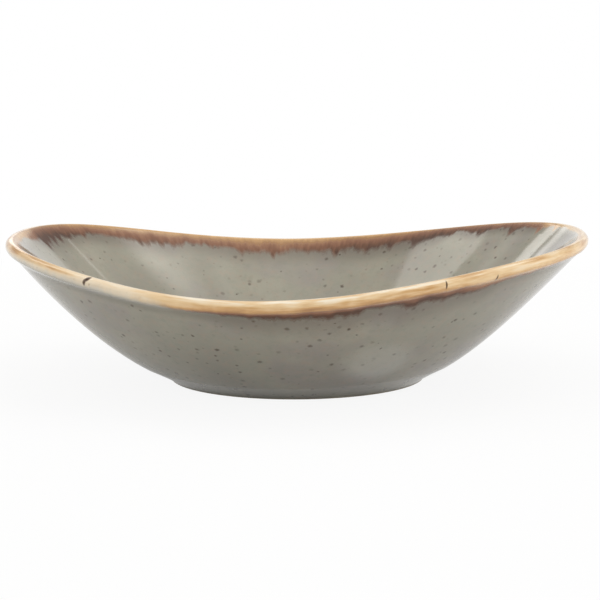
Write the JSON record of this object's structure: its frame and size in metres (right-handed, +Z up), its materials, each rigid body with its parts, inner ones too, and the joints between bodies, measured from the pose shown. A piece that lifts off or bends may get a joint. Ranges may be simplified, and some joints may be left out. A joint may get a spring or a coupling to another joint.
{
  "type": "sauce bowl",
  "caption": "Shallow glazed stoneware sauce bowl with a round foot and an oval rolled rim whose blunt ends rise, for dips and table sauces.",
  "frame": {"origin": "on the table, under the middle of the foot ring", "axes": "+X along the bowl's length towards one raised end, +Z up; the other end is the same"},
  "size_m": [0.13, 0.117, 0.0332],
  "materials": {
    "clay": "bare fired stoneware, matt",
    "outside": "glossy grey-green glaze with brown speckles",
    "rim": "glossy tan glaze with brown edges",
    "inside": "glossy grey-green glaze with brown speckles",
    "underside": "glossy grey-green glaze"
  },
  "bodies": {
    "root": {"clay_body": "clay", "outside_glaze": "outside", "rim_glaze": "rim", "inside_glaze": "inside", "underside_glaze": "underside"}
  },
  "joints": []
}
